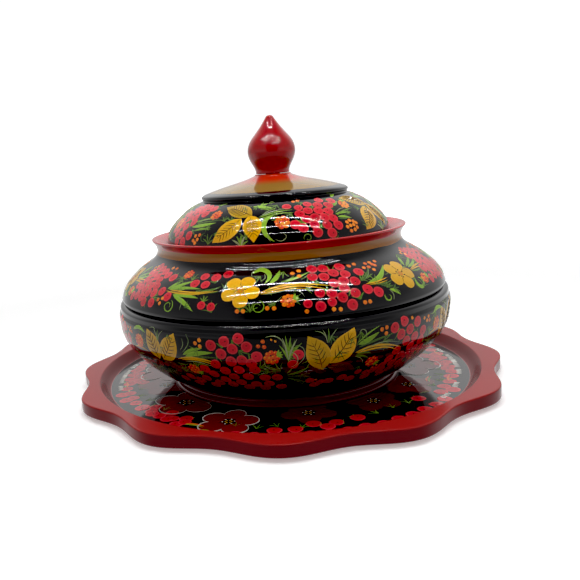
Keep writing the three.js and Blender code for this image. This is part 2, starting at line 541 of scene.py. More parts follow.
def goldLeaf(art, side, base, tip, width, tone=0.3, bow=0.08, veins=5, longVeins=False):
    # a broad leaf from base to tip, both [angle, up], with a dark midrib and side veins
    up = (base[1] + tip[1]) / 2
    scale = float(side.radius(up)) * math.pi / 180
    b = np.array([base[0] * scale, base[1]])
    t = np.array([tip[0] * scale, tip[1]])
    run = t - b
    length = float(np.hypot(*run))
    along = run / length
    across = np.array([-along[1], along[0]])

    def at(u, w):
        spot = b + run * u + across * (w * width / 2 + bow * length * math.sin(math.pi * u))
        return (spot[0] / scale, spot[1])

    places = [at(u, 0) for u in (0, 0.25, 0.5, 0.75, 1)]
    shape = [0.05, 0.45, 0.74, 0.92, 1.0, 1.0, 0.93, 0.78, 0.55, 0.28, 0.04]
    art.stroke(side, "Golds", places, width, tone, 0, shape, (-1, -0.93, -0.6, 0, 0.6, 0.93, 1))
    art.stroke(side, "Darks", [at(0.05, 0), at(0.45, 0.02), at(0.86, 0)], 0.42, 0.6, 1)
    for i in range(veins):
        u = 0.2 + 0.5 * i / max(1, veins - 1)
        for way in (-1, 1):
            reach = (0.62 if not longVeins else 0.8) * math.sin(math.pi * min(1, u + 0.12)) ** 0.6
            ends = [at(u, 0.02 * way), at(u + 0.07, way * reach * 0.55), at(u + 0.15, way * reach)]
            art.stroke(side, "Darks", ends, 0.36, 0.6, 1, [0.9, 1, 0.4])


def goldFlower(art, side, angle, up, size=1.0, tone=0.8, turn=0.0):
    # five round petals, an orange middle and a ring of dark stamens
    for i in range(5):
        a = math.radians(turn + 72 * i)
        dx, dy = 7.0 * size * math.cos(a), 6.9 * size * math.sin(a)
        place = angle + math.degrees(dx / float(side.radius(up)))
        outline = []
        for k in range(26):
            b = 2 * math.pi * k / 26
            away = math.cos(b - a)
            r = 4.75 * size * (1 - 0.10 * max(0, away) ** 8 + 0.05 * math.cos(2 * (b - a)))
            outline.append((r * math.cos(b), r * math.sin(b)))
        art.patch(side, "Golds", place, up + dy, outline, tone, rings=(0.4, 0.75, 0.9, 0.96, 1.0))
    art.patch(side, "Golds", angle, up, circle(2.9 * size), tone - 0.5, rings=(0.5, 1.0))
    for i in range(6):
        a = math.radians(turn + 20 + 60 * i)
        for reach, dot, color in ((1.2, 0.6, "Oranges"), (3.0, 0.66, "Darks")):
            dx, dy = reach * size * math.cos(a), reach * size * math.sin(a)
            place = angle + math.degrees(dx / float(side.radius(up)))
            art.patch(side, color, place, up + dy, circle(dot * size, 9), 0.45, 1, (0.6, 1.0))
    for i in range(5):
        a = math.radians(turn + 36 + 72 * i)
        x0, x1 = 3.6 * size, 7.2 * size
        deg = math.degrees(1 / float(side.radius(up)))
        start = (angle + x0 * math.cos(a) * deg, up + x0 * math.sin(a))
        end = (angle + x1 * math.cos(a) * deg, up + x1 * math.sin(a))
        art.stroke(side, "Darks", [start, end], 0.35, 0.9, 1, [1, 0.6, 0.2])


def curl(art, side, angle, up, radius, start, turns, width, tone, color="Greens", tight=0.62):
    # a spiral tendril round its middle, from outside to inside
    places = []
    for i in range(15):
        t = i / 14
        a = math.radians(start + 360 * turns * t)
        r = radius * (1 - tight * t)
        places.append((angle + math.degrees(r * math.cos(a) / float(side.radius(up))), up + r * math.sin(a)))
    art.stroke(side, color, places, width, tone, 0, [0.35, 0.8, 1, 0.9, 0.7, 0.5, 0.35])


def tuft(art, side, base, tips, width=1.2, tone=0.6):
    for i, tip in enumerate(tips):
        middle = ((base[0] * 0.55 + tip[0] * 0.45), base[1] * 0.4 + tip[1] * 0.6)
        color = "Greens" if i % 3 else "Pales"
        art.stroke(side, color, [base, middle, tip], width, tone, 0, [0.2, 0.7, 1, 0.7, 0.1])


def grass(art, side, angle, up, way, length, tone=0.15, blades=4):
    # a sprig of thin curved blades fanning out from one place
    deg = math.degrees(1 / float(side.radius(up)))
    for i in range(blades):
        lean = way + (i - (blades - 1) / 2) * 0.34 + 0.12 * (art.random.random() - 0.5)
        reach = length * (1 - 0.16 * abs(i - (blades - 1) / 2))
        curve = 0.5 * (i - (blades - 1) / 2) / blades
        places = []
        for t in (0, 0.35, 0.7, 1):
            a = lean + curve * t * 2
            places.append((angle + deg * reach * t * math.cos(a), up + reach * t * math.sin(a)))
        width = 0.55 + 0.35 * art.random.random()
        art.stroke(side, "Greens", places, width, tone, 0, [0.2, 0.8, 1, 0.7, 0.1])


def sowGrass(art, side, low, high, count, length):
    # sprigs all round the band, under everything else
    for i in range(count):
        angle = 360 * (i + 0.8 * art.random.random()) / count
        up = low + (high - low) * art.random.random()
        way = art.random.random() * 2 * math.pi
        if up < low + 5:
            way = math.pi * (0.25 + 0.5 * art.random.random())
        if up > high - 5:
            way = -math.pi * (0.25 + 0.5 * art.random.random())
        blade = length * (0.7 + 0.6 * art.random.random())
        grass(art, side, angle, up, way, blade, 0.1 + 0.3 * art.random.random())


motifs = {
    "berries": berry,
    "small": smallBerry,
    "raspberries": raspberry,
    "flowers": goldFlower,
    "curls": curl,
}


def paintBand(art, side, band, shift=0.0, squeeze=1.0, about=0.0, shake=0.0):
    # one stretch of a band, turned round the axis by shift degrees and squeezed about one angle
    def at(place):
        angle = about + (place[0] - about) * squeeze + shift
        wander = shake * (art.random.random(2) - 0.5)
        return (angle + float(wander[0]) * 0.6, place[1] + float(wander[1]))

    for base, tip, *rest in band.get("leaves", []):
        goldLeaf(art, side, at(base), at(tip), *rest)
    for name, paint in motifs.items():
        for item in band.get(name, []):
            paint(art, side, *at(item), *item[2:])
    for color, width, tone, *places in band.get("strokes", []):
        art.stroke(side, color, [at(p) for p in places], width, tone)
    for base, *tips in band.get("tufts", []):
        tuft(art, side, at(base), [at(tip) for tip in tips])


trayMake = {
    "lobes": 12,
    "lobeRadius": 150.0,
    "notchRadius": 142.2,
    "firstLobe": -2,  # degrees from the front
    "rim": 10.6,
    "floor": 3.8,
    "edge": 0.9,  # rounding of the rim's outer edge
    "rimRed": (0.28, 0.016, 0.015),
    # painted shade: the side and the cove take darker copies of the rim's red
    "sideShadeRed": (0.20, 0.022, 0.028),
    "coveShadeRed": (0.18, 0.014, 0.016),
    "cloudRed": (0.30, 0.006, 0.008),
    "rubbedRed": (0.62, 0.10, 0.08),
    "floorBlack": (0.006, 0.005, 0.006),
    "floorCloud": (0.012, 0.008, 0.008),
    "lineRed": (0.36, 0.10, 0.10),  # the thin line round the floor
    "redRoughness": 0.20,
    "redShine": 0.16,
    "blackRoughness": 0.07,
}


def trayWave(angles):
    swing = (trayMake["lobeRadius"] - trayMake["notchRadius"]) / 2
    first = math.radians(trayMake["firstLobe"])
    return swing * (np.cos(trayMake["lobes"] * (angles - first)) - 1)


def trayRedFinish():
    finish = Finish("tray red lacquer")
    where = finish.place()
    x, y, z = finish.parts(where)
    reach = (x * x + y * y) ** 0.5
    cloud = finish.noise(where, 28.0, 4.0)
    # painted shade: the outer side below the rim and the cove down to the floor are darker red than the lit
    # top
    below = finish.smooth(z + (cloud - 0.5) * 0.0006, 0.0095, 0.0104)
    cove = finish.smooth(reach, 0.1335, 0.1350)
    color = finish.mix(below, trayMake["sideShadeRed"], trayMake["rimRed"])
    color = finish.mix((1 - cove) * finish.smooth(z, 0.0108, 0.0100), color, trayMake["coveShadeRed"])
    color = finish.mix((cloud - 0.35) * 0.35, color, trayMake["cloudRed"])
    rub = finish.smooth(finish.noise(where, 420.0, 4.0, 0.7), 0.62, 0.80) * finish.smooth(z, 0.0096, 0.0105)
    color = finish.mix(rub * 0.12, color, trayMake["rubbedRed"])
    return polished(finish, color, trayMake["redRoughness"], 1.6, trayMake["redShine"])


def trayBlackFinish():
    finish = Finish("tray black lacquer")
    where = finish.place()
    x, y, z = finish.parts(where)
    reach = (x * x + y * y) ** 0.5
    cloud = finish.noise(where, 60.0, 4.0)
    line = finish.smooth(reach, 0.1268, 0.1272)
    color = finish.mix(cloud * 0.5, trayMake["floorBlack"], trayMake["floorCloud"])
    color = finish.mix(line * 0.8, color, trayMake["lineRed"])
    return polished(finish, color, trayMake["blackRoughness"])


def makeTray():
    floor, rim, edge, out = (trayMake[name] for name in ("floor", "rim", "edge", "lobeRadius"))
    under = [(0, 0), (40, 0), (90, 0), (129, 0), (131, 0), (132, 0.25), (141, 2.5), (141.5, 2.7)]
    side = [(out - 0.9, 2.7), (out - 0.25, 2.8), (out, 3.2), (out, 3.6), (out, 6.5), (out, rim - edge - 0.5)]
    for a in np.linspace(0, 1.5708, 6):
        side.append((out - edge * (1 - math.cos(a)), rim - edge * (1 - math.sin(a))))
    side += [(out - 1.4, rim), (out - 2.8, rim)]
    loops = withSlots(under, 0) + withSlots(side, 0, 1.0)
    # across the rim the wave dies away towards the round floor
    for radius, follow in ((145.5, 0.8), (142.5, 0.45), (139.5, 0.15), (137.5, 0.05), (136, 0), (135, 0)):
        loops += withSlots([(radius, rim)], 0, follow)
    cove = bend([(134.6, rim), (134.2, rim - 0.35), (131.8, 7.6), (129.1, 4.7), (127.9, floor + 0.1)], 14)
    loops += withSlots(cove, 0)
    loops += withSlots([(radius, floor) for radius in (127.4, 126.8, 120, 100, 70, 30, 0)], 1)
    around = 36 * trayMake["lobes"]
    made = turnedMesh("paintedTray", loops, around, trayWave, [trayRedFinish(), trayBlackFinish()])
    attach(made, "tray")
    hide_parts("tray")


makeTray()
print("tray turned and cut")


bowlMake = {
    "black": (0.0045, 0.0045, 0.0055),
    "blackCloud": (0.009, 0.008, 0.009),
    "dust": (0.10, 0.09, 0.08),
    "ochre": (0.34, 0.13, 0.012),
    "ochreGrain": (0.20, 0.055, 0.006),
    "lipRed": (0.42, 0.010, 0.014),
    "insideRed": (0.50, 0.012, 0.012),
    "insideDeep": (0.33, 0.006, 0.008),
    "footRed": (0.13, 0.006, 0.012),
    "footDeep": (0.06, 0.003, 0.006),
    "ochreFrom": 0.0972,  # heights in metres where the neck's two colors start
    "redFrom": 0.1022,
}


def blackFinish():
    finish = Finish("bowl black lacquer")
    where = finish.place()
    z = finish.parts(where)[2]
    cloud = finish.noise(where, 40.0, 4.0)
    wander = (finish.noise(where, 30.0, 3.0) - 0.5) * 0.0012
    dust = finish.smooth(finish.noise(where, 2600.0, 2.0, 0.7), 0.70, 0.80)
    color = finish.mix(cloud * 0.6, bowlMake["black"], bowlMake["blackCloud"])
    color = finish.mix(dust * 0.12, color, bowlMake["dust"])
    grain = finish.noise(finish.stretched(where, (60.0, 60.0, 900.0)), 1.0, 3.0)
    ochre = finish.mix(grain * 0.6, bowlMake["ochre"], bowlMake["ochreGrain"])
    color = finish.mix((z + wander) > bowlMake["ochreFrom"], color, ochre)
    color = finish.mix((z + wander * 0.6) > bowlMake["redFrom"], color, bowlMake["lipRed"])
    return polished(finish, color)


def redFinish(name, red, deep, rough):
    finish = Finish(name)
    where = finish.place()
    cloud = finish.noise(where, 36.0, 4.0)
    turning = finish.noise(finish.stretched(where, (25.0, 25.0, 700.0)), 1.0, 3.0)
    color = finish.mix(cloud * 0.5 + turning * 0.25, red, deep)
    return polished(finish, color, rough)


insideRed = redFinish("inside red lacquer", bowlMake["insideRed"], bowlMake["insideDeep"], 0.14)
footRed = redFinish("foot red lacquer", bowlMake["footRed"], bowlMake["footDeep"], 0.10)
blackLacquer = blackFinish()

bellyCurve = bend([(83.5, 12), (94.3, 19.5), (106, 31), (113.3, 42), (115.5, 56)], 60)
bandEdges = [(115.5, 58.0), (115.43, 58.6), (115.24, 59.2), (114.96, 59.7), (114.66, 60.1), (114.46, 60.5)]
bandEdges += [(114.4, 60.9), (114.4, 63.4, 0.6), (113.4, 64.8), (111.2, 65.5)]
bellyPaint = [(80, 10.9)] + bellyCurve + [p[:2] for p in bandEdges]
shoulderPoints = [(112.7, 68.2), (110.6, 74), (104.2, 82), (93.5, 90), (86.2, 96)]
shoulderPoints += [(84.9, 100), (85.8, 103.2), (88, 106.4)]
shoulderCurve = bend(shoulderPoints, 90)


def makeLowerBowl():
    outside = [(0, 10.9), (60, 10.9), (79.4, 10.9), (80, 10.9)] + bellyCurve
    outside += bandEdges[:-1] + [(111.4, 65.4)]
    joint = [(111.0, 65.5), (108.6, 65.5), (108.6, 68.5, 0.3), (106.4, 68.5, 0.3), (106.4, 64)]
    inside = bend([(106.4, 63.8), (109.8, 55), (108, 44.5), (100, 33), (86, 21.5), (70, 17)], 50)
    loops = withSlots(eased(outside, False), 0) + withSlots(eased(joint, False), 0)
    loops += withSlots(inside + [(69, 17), (40, 17), (0, 17)], 1)
    made = turnedMesh("bowlBelly", loops, 256, None, [blackLacquer, insideRed])
    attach(made, "bowl")
    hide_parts("bowl_lower")


def makeUpperBowl():
    outside = [(108.9, 65.8), (110.9, 65.8), (111.3, 66.0), (112.1, 66.9)] + shoulderCurve[1:]
    lip = [(88.15, 106.9), (87.9, 107.25), (87.3, 107.4), (86.2, 107.4), (85.4, 107.25)]
    lip += [(82, 105.4), (80, 103.95)]
    seat = [(78.5, 102.95), (78.4, 102.5, 0.3), (74.5, 102.5, 0.5), (74.5, 97.6)]
    inside = bend([(74.5, 97.4), (76.5, 94.6), (86, 89), (96.5, 82), (104, 74), (106.4, 68.8)], 50)
    loops = withSlots(eased(outside, False), 0) + withSlots(lip, 0)
    loops += withSlots(eased(seat, False), 1) + withSlots(inside, 1) + withSlots([(108.9, 68.8)], 0)
    made = turnedMesh("bowlShoulder", loops, 256, None, [blackLacquer, insideRed])
    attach(made, "bowl")
    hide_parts("bowl_upper")


def makeFoot():
    bottom, top = 4.1, 10.6
    bead = [(64, 0), (80.2, 0), (80.6, 0.3), (80.65, 0.8), (80.5, 1.3), (80.0, 1.9), (79.2, 2.3), (78.3, 2.6)]
    bead += [(77.7, 3.3), (77.4, 4.2), (77.5, 5.0), (78.2, 5.6), (78.8, 5.9)]
    outside = [(radius, bottom + rise) for radius, rise in bead] + [(78.8, top, 0.3), (65, top)]
    made = turnedMesh("bowlFoot", withSlots(eased(outside), 0), 256, None, [footRed])
    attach(made, "bowl")
    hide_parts("foot_ring")


makeLowerBowl()
makeUpperBowl()
makeFoot()
print("bowl turned: foot, belly and shoulder")


lidMake = {
    "crownBronze": (0.22, 0.135, 0.030),
    "crownBrown": (0.16, 0.075, 0.012),
    "crownRed": (0.50, 0.006, 0.006),
    "crownFrom": 0.0453,  # radius of the black ridge's inner edge
    "knobRed": (0.38, 0.010, 0.012),
    "knobDeep": (0.22, 0.004, 0.006),
}


def lidFinish():
    finish = Finish("lid lacquer")
    where = finish.place()
    x, y, z = finish.parts(where)
    reach = (x * x + y * y) ** 0.5
    cloud = finish.noise(where, 40.0, 4.0)
    black = finish.mix(cloud * 0.6, bowlMake["black"], bowlMake["blackCloud"])
    rings = finish.noise(finish.stretched(where, (40.0, 40.0, 40.0)), 1.0, 4.0)
    fade = finish.smooth(reach + (rings - 0.5) * 0.004, 0.0175, 0.0335)
    crown = finish.mix(fade, lidMake["crownRed"], lidMake["crownBronze"])
    crown = finish.mix(cloud * 0.4, crown, lidMake["crownBrown"])
    edge = (reach + (finish.noise(where, 30.0, 2.0) - 0.5) * 0.0012) < lidMake["crownFrom"]
    color = finish.mix(edge * finish.smooth(z, 0.1335, 0.1345), black, crown)
    return polished(finish, color)


lidCurve = bend([(77.1, 106), (75.6, 110.5), (70.7, 117.1), (59.6, 126.2), (52.3, 129.8)], 60)
lidPaint = [(77.1, 102.8)] + lidCurve + [(50.2, 130.5), (50.6, 131.7), (51, 132.7), (50.2, 134)]


def makeLid():
    outside = [(73.8, 102.8), (76.6, 102.8), (77.0, 103.0), (77.1, 103.5)] + lidCurve
    outside += [(51.0, 130.25), (50.4, 130.5), (50.2, 130.8), (50.35, 131.3), (50.75, 131.8), (51.0, 132.5)]
    outside += [(50.95, 133.1), (50.6, 133.7), (50.0, 134.1)]
    outside += bend([(49.2, 134.5), (41, 137.1), (28, 140.5), (17, 143.5), (12.9, 145.1)], 30)
    outside += [(12.5, 145.5), (12.4, 146, 0.2), (5.3, 146), (5.3, 133.6)]
    inside = bend([(5.6, 133.6), (12, 133.4), (36, 129.8), (54.5, 122.5), (66, 112.5), (69.8, 104)], 40)
    spigot = [(69.8, 103.5), (69.8, 98.2, 0.8), (73.8, 98.2, 0.8), (73.8, 102.6)]
    loops = withSlots(eased(outside, False), 0) + withSlots(inside, 1) + withSlots(eased(spigot, False), 1)
    made = turnedMesh("lidDome", loops, 224, None, [lidFinish(), insideRed])
    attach(made, "lid")
    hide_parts("lid")


def makeKnob():
    body = [(11.6, 146.6), (11.55, 147.3), (12.2, 150), (15, 155.5), (16.4, 161.5), (14.1, 169.1)]
    body += [(10.9, 173.2), (7.6, 177.2), (4.7, 181.2), (2.6, 184.4)]
    profile = [(0, 134.4), (4.6, 134.4), (5, 134.8), (5, 146.3), (11.3, 146.3)] + bend(body, 70)
    profile += [(1.9, 185.2), (1.0, 185.5), (0, 185.6)]
    red = redFinish("knob red lacquer", lidMake["knobRed"], lidMake["knobDeep"], 0.035)
    made = turnedMesh("onionKnob", withSlots(profile, 0), 128, None, [red])
    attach(made, "lid")
    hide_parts("knob")


makeLid()
makeKnob()
print("lid and knob turned")


# the painting on the bowl's shoulder: degrees from the front, millimetres up the profile, then size and tone
shoulderBand = {
    "berries": [
        (-58.5, 37), (-54.8, 35.6), (-51, 34), (-47.4, 31.6), (-43.1, 30), (-60.4, 31.2), (-56.8, 30.2),
        (-53.2, 28.6), (-49.7, 26.4), (-58.7, 24.8), (-55.2, 23.4), (-51.7, 21.2), (-48.2, 21.4),
        (-61.2, 19.2), (-58, 18.2), (-54.6, 17.6), (-51, 15.8), (-47.3, 16.4), (-43.6, 18.6), (-39.6, 15.4),
        (-57.4, 12.4), (-53.9, 12.0), (-61.1, 11.0), (-51.0, 9.4), (-46.4, 9.9), (-30.6, 26.5),
        (-26.1, 26, 3.1), (-28.1, 32.6, 3.1), (-23.2, 32), (-18.9, 34.8), (-24.8, 11.4, 2.7),
        (-21.4, 10.6, 2.7), (12.1, 35.4), (16.2, 34.8), (22.6, 34.6), (11.3, 28.8), (15.2, 28.0),
        (19.1, 30.4), (23.0, 28.2), (28.4, 28.3), (17.6, 22.4), (21.2, 23.2), (24.9, 21.9), (20.2, 17.9),
        (12.1, 16.6, 3.1), (15.7, 15.6), (23.1, 13.9), (27.7, 15.1), (31, 12.2), (18.6, 12.3),
        (11.5, 8.4, 3.2), (15.1, 10.2, 2.7), (21.1, 7.2), (7.9, 10.6, 2.6),
    ],
    "small": [
        (-48.2, 37.8), (-45.6, 37.9), (-43.3, 12.6), (-41.4, 13.8), (-41.9, 10.4), (-12.9, 8.2),
        (-11.1, 8.2), (-4, 9.5), (-2, 9.3), (4.8, 33.3, 1.4, 0.9), (7.2, 34.9, 1.4, 0.9),
        (6.9, 30.5, 1.4, 1), (7.3, 6.3), (15.2, 6.0), (17.2, 5.5), (25.2, 7.4), (26.9, 7.4),
        (26.4, 34.3, 1.4), (28.9, 35.2, 1.4), (31.6, 30.9), (33.6, 34.2), (33.8, 30.8), (35.8, 34.3),
        (36.9, 31.2), (38.6, 34.6), (34.9, 27.9), (36.2, 32.6), (57.4, 35.2, 1.2, 1), (59.2, 37, 1.2, 1),
        (59.4, 33.4, 1.2, 1),
    ],
    "raspberries": [
        (-36.2, 33.8, 60, 0.85, 0.1, False), (2.3, 13.4, 20, 1.0, 0.55), (54.6, 13.2, 10, 0.9, 0.4),
    ],
    "flowers": [(-12.7, 21.5, 1.0, 0.85, 60), (44.3, 20.8, 0.97, 0.5, 64)],
    "curls": [
        (-37.7, 9.4, 4.2, 70, -1.25, 0.75, 0.8), (-6.8, 10.4, 4.0, 80, -1.2, 0.7, 0.75),
        (34.0, 8.2, 3.0, 140, 0.8, 1.1, 0.9), (50.5, 12.2, 4.2, 130, 0.85, 2.6, 1.0, "Greens", 0.3),
    ],
    "strokes": [
        ("Greens", 2.2, 0.7, (-41.5, 20.6), (-39.4, 24.4), (-37, 28)),
        ("Greens", 2.6, 0.9, (-40.6, 20.6), (-36.4, 24.6), (-31.6, 28.6)),
        ("Greens", 2.3, 0.8, (-40.4, 20.4), (-34, 22.6), (-27, 22.4)),
        ("Greens", 2.7, 0.9, (-37.4, 17.2), (-31.6, 17.2), (-26.6, 15.8)),
        ("Greens", 3.0, 0.9, (-37.2, 16.8), (-32, 12.8), (-27.4, 7.4)),
        ("Pales", 0.5, 0.2, (-34.4, 16), (-32.4, 12), (-32.6, 7.6)),
        ("Greens", 1.5, 0.15, (-27, 20.8), (-23, 22), (-19.8, 24.6)),
        ("Greens", 1.2, 0.15, (-25, 20), (-22, 20.4), (-19.9, 21)),
        ("Greens", 3.4, 1.0, (-9.4, 35), (-6.8, 38), (-4, 35.6), (-3.4, 30.6), (-5, 26)),
        ("Pales", 0.55, 0.4, (-9.3, 31.6), (-9.9, 35), (-8, 38.2), (-5.6, 38.2)),
        ("Greens", 3.1, 1.0, (-3.2, 26.2), (-1.2, 30), (0.4, 36.6)),
        ("Pales", 0.5, 0.3, (-5.2, 34.4), (-4.9, 30.6), (-6.4, 28)),
        ("Greens", 1.8, 0.9, (0.6, 26.8), (5, 28.8), (10.8, 33.4)),
        ("Greens", 1.1, 0.3, (0.6, 26.6), (3.4, 28.6), (5.4, 31.4)),
        ("Pales", 0.5, 0.3, (-5.2, 18.2), (0, 19.6), (3.6, 20.4), (6.8, 17.2), (7.2, 15)),
        ("Pales", 0.5, 0.3, (-4, 11), (-1, 13.6), (0.4, 16.4)),
        ("Greens", 2.0, 0.15, (26.8, 21), (30, 24), (33.2, 30.2)),
        ("Pales", 0.6, 0.2, (28.8, 22), (31.8, 26.4), (33.2, 30.8)),
        ("Greens", 3.3, 1.0, (29, 19), (33.6, 20.8), (37, 24.6), (40.2, 30)),
        ("Greens", 1.1, 0.2, (31, 17.6), (34.6, 16.6), (38.4, 17.8)),
        ("Greens", 1.1, 0.2, (33, 16), (35.6, 14.6), (38, 14.2)),
        ("Greens", 2.2, 0.9, (35.4, 12.4), (37.2, 10.8), (38.8, 7.8)),
        ("Pales", 0.6, 0.5, (35.4, 5.6), (36, 9), (35, 12.6)),
        ("Greens", 2.4, 0.8, (50, 25.6), (51.2, 30), (53, 35.4)),
        ("Greens", 2.2, 0.5, (50.6, 24.6), (54.4, 27.4), (58.8, 31)),
        ("Greens", 2.0, 0.9, (51, 23.6), (56, 25.2), (61, 29)),
        ("Greens", 1.3, 0.2, (51, 20.4), (55, 19.6), (58.6, 20.6)),
        ("Golds", 1.5, 0.35, (-41.4, 19.2), (-35, 18.4), (-28, 18.8), (-20.4, 21.2)),
        ("Golds", 0.9, 0.7, (-40, 20.2), (-33, 19.8), (-26, 20.2), (-22, 21.4)),
        ("Golds", 1.7, 0.6, (-6.6, 19.2), (-2, 22.6), (3, 24.4), (9, 23.8), (16, 20.8)),
        ("Golds", 1.2, 0.9, (-6.2, 18.8), (-1, 21.4), (4, 22.8), (9.4, 21.8), (14.6, 18.8)),
        ("Golds", 0.8, 0.9, (-6, 18.4), (0, 20.2), (5, 21.2), (9, 20.2)),
        ("Golds", 1.0, 0.7, (28, 18.6), (33, 19), (37.6, 20.4)),
        ("Golds", 0.8, 0.6, (29, 17.8), (33.6, 17.6), (37, 18.6)),
        ("Golds", 1.4, 0.4, (51, 21.6), (56.4, 23.4), (62, 23.6)),
        ("Golds", 1.0, 0.6, (51, 21), (56, 21.6), (60.6, 21)),
    ],
}

# the belly has two stretches, each round a pair of upright leaves
bellyLeft = {
    "leaves": [
        ((-42.4, 45), (-46.2, 64.2), 14.0, 0.2, -0.04), ((-40.4, 45.4), (-33.8, 64.2), 13.6, 0.45, -0.05),
        ((-40.6, 44), (-33, 36), 7.5, -0.6, 0.05), ((-43, 44.4), (-48.6, 35.6), 7.0, -0.6, -0.05),
    ],
    "berries": [
        (-21, 58.8), (-16.8, 61.4), (-12.6, 63.2), (-14.5, 57.1), (-10.3, 58.4), (-18.1, 53.8),
        (-15.3, 49.2), (-12, 50.2), (-7.6, 52.4), (-17.9, 41.9), (-13.5, 43), (-8.7, 43.1), (-22.3, 38),
        (-15.8, 36.6), (-11.2, 36.9), (-6.1, 35.9), (-2.4, 35.9), (-19.2, 33), (-22.2, 28.6), (-14.2, 30.6),
        (-9.4, 28.6), (-17.6, 27.4), (-5.2, 29.2), (-12.2, 24.6), (-20.4, 46.8), (-24.6, 42.4), (-9.4, 48),
        (-26.2, 32.6), (-29.4, 29), (-32.8, 32), (-36.6, 28), (-24.6, 25), (-31.6, 24.6), (-1.4, 25),
        (-6.8, 24), (4, 52.6), (2.4, 46.6, 3.2), (7.7, 30.3, 2.6), (11.4, 27.4, 2.6),
    ],
    "small": [
        (-26.1, 59.5), (-24.6, 61.5), (-24.6, 57.8), (-5.6, 61.3, 1.2, 0.2), (-7, 58.7, 1.2, 0.2),
        (-5.3, 58.2, 1.2, 0.2), (-3.2, 62.2, 0.6, 1), (-2.1, 61.2, 0.6, 1), (9.6, 30.6, 1.0, 0.8),
    ],
    "raspberries": [
        (-28.6, 41, -40, 1.0, 0.35), (-3.4, 51.6, 25, 1.05, 0.2), (-51.2, 55, 90, 0.95, 0.5, False),
    ],
    "curls": [(-49.6, 60.6, 3.6, 20, 1.1, 0.6, 0.5), (1.4, 49.6, 5.2, 100, -0.5, 0.6, 0.5, "Pales", 0.1)],
    "strokes": [
        ("Greens", 2.5, 0.8, (-31.2, 51.2), (-28, 54.6), (-24, 56.6)),
        ("Greens", 3.0, 0.9, (-30.4, 50.4), (-25.6, 53.2), (-20.6, 54.2)),
        ("Greens", 1.2, 0.2, (-29, 49.8), (-24, 51), (-19, 51)),
        ("Golds", 1.5, 0.4, (-33.4, 48.2), (-28, 50), (-20, 47.8)),
        ("Golds", 1.0, 0.7, (-32, 47.8), (-27, 48.8), (-20, 46)),
        ("Pales", 0.6, 0.5, (-31, 47), (-26, 47.4), (-21, 44.6)),
        ("Pales", 0.55, 0.2, (-31.4, 52.6), (-29.2, 57), (-28.4, 61), (-29.4, 64.6)),
        ("Pales", 0.5, 0.2, (-32, 54), (-30.6, 58), (-30.8, 62)),
        ("Pales", 0.5, 0.4, (-41.6, 57), (-41.4, 61), (-42.8, 65.4)),
        ("Pales", 0.5, 0.4, (-40.9, 57), (-40.2, 61.4), (-38.6, 64.6)),
        ("Greens", 0.9, 0.5, (-41.2, 57), (-41, 61), (-40.8, 65)),
        ("Pales", 0.5, 0.3, (-45.2, 65), (-43, 65.6), (-41.8, 62)),
        ("Greens", 1.4, 0.2, (-34.6, 44.8), (-32, 44), (-29.8, 45.2)),
        ("Greens", 1.0, 0.2, (-27.4, 45.4), (-25, 46), (-22.8, 44.6)),
        ("Pales", 0.6, 0.3, (-5, 63.6), (-2.2, 64.2), (-0.2, 61), (-0.2, 56)),
        ("Pales", 0.5, 0.3, (-5.6, 50), (-5.4, 46.4), (-3.4, 43.6), (-0.8, 44.6)),
        ("Pales", 0.5, 0.2, (3.2, 58.4), (5.2, 56.8), (5.8, 52), (4.4, 47.4), (1.6, 42.6)),
        ("Greens", 2.2, 0.4, (0.4, 37.6), (3.6, 39.6), (7, 44)),
        ("Greens", 1.4, 0.2, (0.4, 39), (1.6, 42), (2.2, 44)),
        ("Greens", 1.8, 0.2, (0.4, 36), (4, 36), (8, 33.6)),
        ("Greens", 2.2, 0.3, (0.4, 35), (3.4, 32), (7, 28.6)),
        ("Greens", 1.6, 0.15, (-1, 33), (-1.4, 29), (-3, 26)),
    ],
    "tufts": [[(1.2, 49), (-0.2, 63.2), (0.7, 64.4), (2.2, 63.8), (3.9, 62), (5.2, 59.6), (-1.2, 59)]],
}
